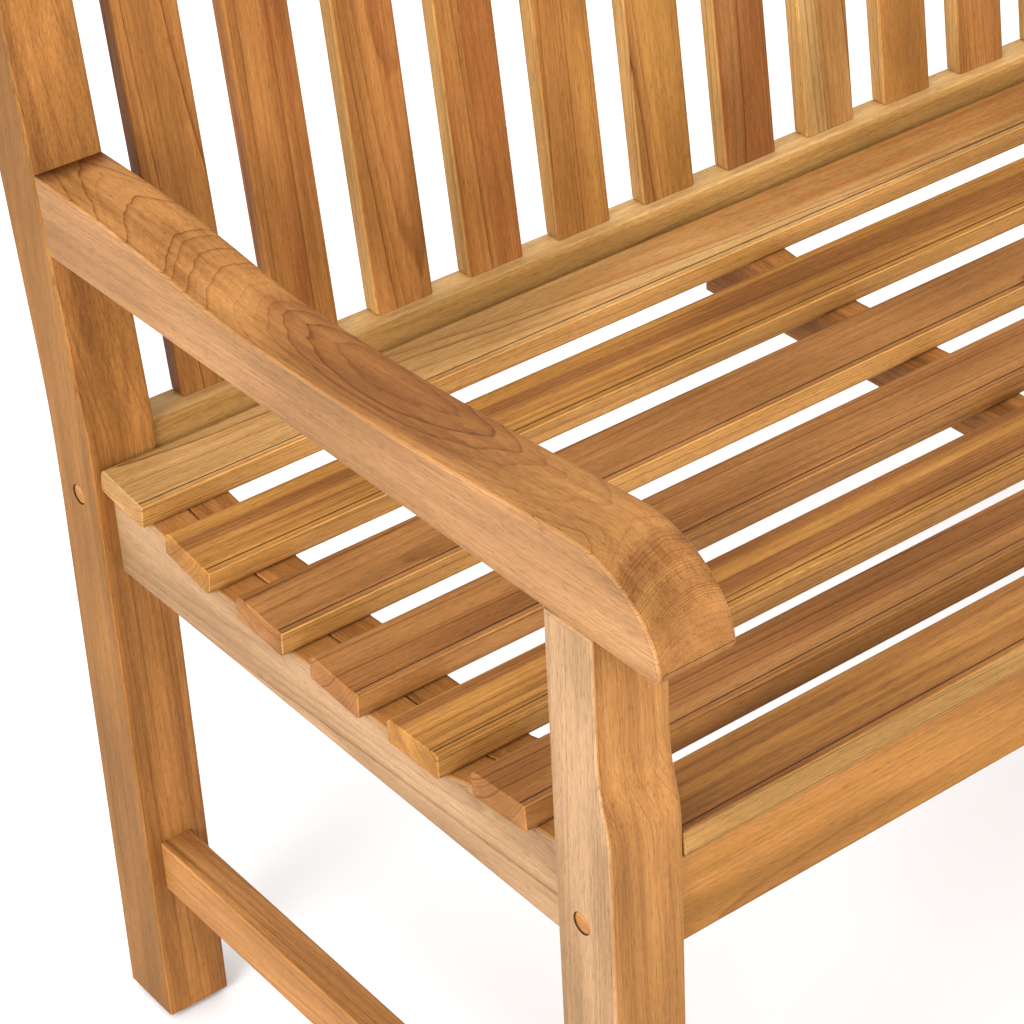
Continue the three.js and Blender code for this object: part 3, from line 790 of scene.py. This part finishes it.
def slat_section(origin, wide, thick, width, thickness):
    """Section of a seat slat: well rounded at the rear top, crisp at the front top.

    Two points on the top face bound the narrow dark line that runs along the front edge: painted shade in
    place of a groove, on a flat strip."""
    up = thick if thick[2] > 0 else -thick
    base = origin if thick[2] > 0 else origin + thick * thickness
    to_front = wide if wide[1] < 0 else -wide
    rear = base if wide[1] < 0 else base + wide * width

    def corner(forward, height, radius):
        point = rear + to_front * forward + up * height
        return point[1], point[2], radius * MM

    return rounded([
        corner(0, 0, 3),
        corner(0, thickness, 5),
        corner(width - GROOVE_SHADE_BACK - GROOVE_SHADE_WIDTH, thickness, 0),
        corner(width - GROOVE_SHADE_BACK, thickness, 0),
        corner(width, thickness, 1.5),
        corner(width, 0, 2.5),
    ])


def seat_slat(number, slat_look):
    node = f"seat_slat_{number}"
    section = slat_section(*turned_extent(node))
    mesh = extruded(f"seat_board_{number}", section, x_of(node), arris=1.4 * MM)
    finish_board(mesh, [node], "seat_wood", slat_look, ALONG_X, TO_BACK)


for number, slat_look in enumerate(SEAT_LOOKS, 1):
    seat_slat(number, slat_look)

# --- Boards under the seat ----------------------------------------------------------------------

LEG_REAR = box("front_leg_left")[1][1]
POST_FRONT = box("rear_post_left")[0][1]
FRONT_RAIL = box("front_rail")
REAR_RAIL = box("rear_rail")
LEG_INSIDE = box("front_leg_left")[1][0] + JOINT_GAP
BETWEEN_ENDS = (LEG_INSIDE, -LEG_INSIDE)


def seat_line():
    """Points (y, z) just below the slats' undersides, from the front to the back."""
    points = []
    for number in range(1, len(SEAT_LOOKS) + 1):
        origin, wide, thick, width, thickness = turned_extent(f"seat_slat_{number}")
        base = origin if thick[2] > 0 else origin + thick * thickness
        ends = sorted([base, base + wide * width], key=lambda p: -p[1])
        points += [(p[1], p[2] - JOINT_GAP) for p in ends]
    return points[::-1]


SEAT_LINE = seat_line()


def line_height(y):
    """Height of the seat line at y, the line being prolonged past both of its ends."""
    for (y0, z0), (y1, z1) in zip(SEAT_LINE, SEAT_LINE[1:]):
        if y <= y1:
            break
    return z0 + (z1 - z0) * (y - y0) / (y1 - y0)


def dished_outline(front, rear, bottom):
    """A board's side view with a straight underside and a top that follows the seat line."""
    margin = 4 * MM
    between = [p for p in SEAT_LINE if front + margin < p[0] < rear - margin]
    points = [(rear, bottom), (rear, line_height(rear))]
    points += between[::-1]
    points += [(front, line_height(front)), (front, bottom)]
    return np.array(points)[::-1]


def dished_board(name, node, slot, front, rear, arris, board_look):
    """A board from the front to the back whose top carries the slats."""
    outline = dished_outline(front + JOINT_GAP, rear - JOINT_GAP, box(node)[0][2])
    mesh = extruded(name, outline, x_of(node), arris)
    finish_board(mesh, [node], slot, board_look, TO_BACK, UP)


def side_rail(side):
    name, node = f"seat_rail_{side}", f"side_rail_{side}"
    dished_board(name, node, "frame_wood", LEG_REAR, POST_FRONT, RAIL_EDGE, SIDE_RAIL_LOOK)


def cleat(side):
    name, node = f"cleat_{side}", f"seat_cleat_{side}"
    dished_board(name, node, "seat_wood", LEG_REAR, POST_FRONT, 1.5 * MM, CLEAT_LOOK)


def bearer():
    dished_board(
        "bearer", "center_bearer", "seat_wood", FRONT_RAIL[1][1], REAR_RAIL[0][1], 3 * MM, BEARER_LOOK
    )


def front_rail():
    (_, y0, z0), (_, y1, _) = FRONT_RAIL
    corners = [
        (y0, z0, RAIL_EDGE),
        (y1, z0, RAIL_EDGE),
        (y1, line_height(y1), 1 * MM),
        (y0, line_height(y0), 1 * MM),
    ]
    mesh = extruded("front_apron", rounded(corners), BETWEEN_ENDS, BUTT_ARRIS)
    finish_board(mesh, ["front_rail"], "frame_wood", FRONT_RAIL_LOOK, ALONG_X, UP)


def stretcher(side):
    low, high = box(f"side_stretcher_{side}")
    front, rear = LEG_REAR + JOINT_GAP, POST_FRONT - JOINT_GAP
    outline = np.array([(front, low[2]), (rear, low[2]), (rear, high[2]), (front, high[2])])
    mesh = extruded(f"stretcher_{side}", outline, (low[0], high[0]), arris=2 * MM)
    finish_board(mesh, [f"side_stretcher_{side}"], "frame_wood", STRETCHER_LOOK, TO_BACK, UP)


for side in SIDES:
    side_rail(side)
    cleat(side)
bearer()
front_rail()
for side in SIDES:
    stretcher(side)

# --- Back ---------------------------------------------------------------------------------------

def rear_rail():
    (_, y0, z0), (_, y1, z1) = REAR_RAIL
    corners = [(y0, z0, RAIL_EDGE), (y1, z0, RAIL_EDGE), (y1, z1, 1.5 * MM), (y0, z1, 5 * MM)]
    mesh = extruded("lower_back_rail", rounded(corners), BETWEEN_ENDS, BUTT_ARRIS)
    finish_board(mesh, ["rear_rail"], "frame_wood", REAR_RAIL_LOOK, ALONG_X, UP)


def leaning_board(node):
    """A board of the back: its lower front corner, unit vectors to the back and up, and its sizes."""
    origin, wide, thick, width, thickness = turned_extent(node)
    corner = origin if thick[1] > 0 else origin + thick * thickness
    corner = corner if wide[2] > 0 else corner + wide * width
    to_rear = thick if thick[1] > 0 else -thick
    upward = wide if wide[2] > 0 else -wide
    return corner, to_rear, upward, width, thickness


def top_rail():
    start, to_rear, upward, width, thickness = leaning_board("top_rail")

    def corner(behind, up, radius):
        point = start + to_rear * behind + upward * up
        return point[1], point[2], radius * MM

    corners = [corner(0, 0, 2.5), corner(thickness, 0, 2.5), corner(thickness, width, 7), corner(0, width, 7)]
    mesh = extruded("upper_back_rail", rounded(corners), BETWEEN_ENDS, BUTT_ARRIS)
    finish_board(mesh, ["top_rail"], "frame_wood", TOP_RAIL_LOOK, ALONG_X, UP)


def back_slat(number, slat_look):
    """A slat from the lower rail, where it is cut level, to the upper one, where it is cut square."""
    node = f"back_slat_{number:02d}"
    start, to_rear, upward, _, thickness = leaning_board(node)
    rail_corner = leaning_board("top_rail")[0]
    foot = REAR_RAIL[1][2] + JOINT_GAP
    tan_lean = upward[1] / upward[2]

    def front_at(z):
        return start[1] + tan_lean * (z - start[2])

    end = np.array([0, front_at(rail_corner[2]), rail_corner[2]])
    into_rail = (end - np.array([0, *rail_corner[1:]])) @ upward
    end = end - upward * (into_rail + JOINT_GAP)
    behind = thickness * to_rear
    outline = np.array([
        (front_at(foot), foot),
        (front_at(foot) + thickness / to_rear[1], foot),
        (end[1] + behind[1], end[2] + behind[2]),
        (end[1], end[2]),
    ])
    mesh = extruded(f"back_board_{number:02d}", outline, x_of(node), arris=2.5 * MM)
    finish_board(mesh, [node], "back_wood", slat_look, upward, ALONG_X)


rear_rail()
top_rail()
for number, slat_look in enumerate(BACK_LOOKS, 1):
    back_slat(number, slat_look)

# --- Plugs, bolts and glides --------------------------------------------------------------------

def plug(side, end):
    """A round wood plug, one of whose faces shows in the hole."""
    (x0, y0, z0), (x1, y1, z1) = box(f"{end}_plug_{side}")
    radius = (z1 - z0) / 2
    turns = np.linspace(0, 2 * math.pi, PLUG_SEGMENTS, endpoint=False)
    outline = np.column_stack(
        [(y0 + y1) / 2 + radius * np.cos(turns), (z0 + z1) / 2 + radius * np.sin(turns)]
    )
    mesh = extruded(f"{end}_disc_{side}", outline, (x0, x1), arris=0.8 * MM)
    finish_board(mesh, [f"{end}_plug_{side}"], "plug_wood", PLUG_LOOK, TO_BACK, ALONG_X)


def fittings(side, end):
    """Bolts and glides keep their CAD meshes and get their materials."""
    for node, material in ((f"{end}_bolt_{side}", BOLT_STEEL), (f"{end}_glide_{side}", GLIDE_PLASTIC)):
        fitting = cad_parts[node].data
        fitting.materials.clear()
        fitting.materials.append(material)


for side in SIDES:
    for end in ("front", "rear"):
        plug(side, end)
        fittings(side, end)

# --- Floor, light and camera --------------------------------------------------------------------

FLOOR_REACH = 12.0
FLOOR_COLOUR = (0.74, 0.74, 0.74, 1.0)
SKY_COLOUR = (1.0, 1.0, 1.0, 1.0)
SKY_STRENGTH = 1.6
SEAT_MIDDLE = (0, 0, 0.4)
CAMERA_PLACE = (-1.2245, -1.1998, 1.4556)
CAMERA_TURN = (56.299, 2.631, -37.588)  # degrees about X, Y and Z
SENSOR_WIDTH, FOCAL_LENGTH = 36.0, 107.82
VIEW_DEPTH = 100.0


def pale_floor():
    mesh = bpy.data.meshes.new("floor")
    corners = [(x * FLOOR_REACH, y * FLOOR_REACH, 0) for x, y in ((-1, -1), (1, -1), (1, 1), (-1, 1))]
    mesh.from_pydata(corners, [], [(0, 1, 2, 3)])
    floor = bpy.data.objects.new("floor", mesh)
    bpy.context.scene.collection.objects.link(floor)
    material = bpy.data.materials.new("pale_floor")
    material.use_nodes = True
    shader = material.node_tree.nodes["Principled BSDF"]
    shader.inputs["Base Color"].default_value = FLOOR_COLOUR
    shader.inputs["Roughness"].default_value = 0.9
    shader.inputs["Specular IOR Level"].default_value = 0.1
    mesh.materials.append(material)


def studio_sky():
    world = bpy.data.worlds.new("studio")
    bpy.context.scene.world = world
    world.use_nodes = True
    background = world.node_tree.nodes["Background"]
    background.inputs["Color"].default_value = SKY_COLOUR
    background.inputs["Strength"].default_value = SKY_STRENGTH


def area_light(name, place, aim, size, power):
    data = bpy.data.lights.new(name, "AREA")
    data.shape = "DISK"
    data.size = size
    data.energy = power
    lamp = bpy.data.objects.new(name, data)
    bpy.context.scene.collection.objects.link(lamp)
    direction = Vector(aim) - Vector(place)
    lamp.location = place
    lamp.rotation_euler = direction.to_track_quat("-Z", "Y").to_euler()


def telephoto_camera():
    data = bpy.data.cameras.new("camera")
    camera = bpy.data.objects.new("camera", data)
    bpy.context.scene.collection.objects.link(camera)
    data.sensor_width = SENSOR_WIDTH
    data.lens = FOCAL_LENGTH
    data.clip_end = VIEW_DEPTH
    camera.location = CAMERA_PLACE
    camera.rotation_euler = [math.radians(angle) for angle in CAMERA_TURN]
    bpy.context.scene.camera = camera
    bpy.context.scene.view_settings.view_transform = "Standard"


pale_floor()
studio_sky()
area_light("key_left", (-3.0, -0.9, 1.7), SEAT_MIDDLE, size=1.6, power=90)
area_light("fill_front", (-0.6, -3.2, 2.0), SEAT_MIDDLE, size=1.6, power=30)
telephoto_camera()
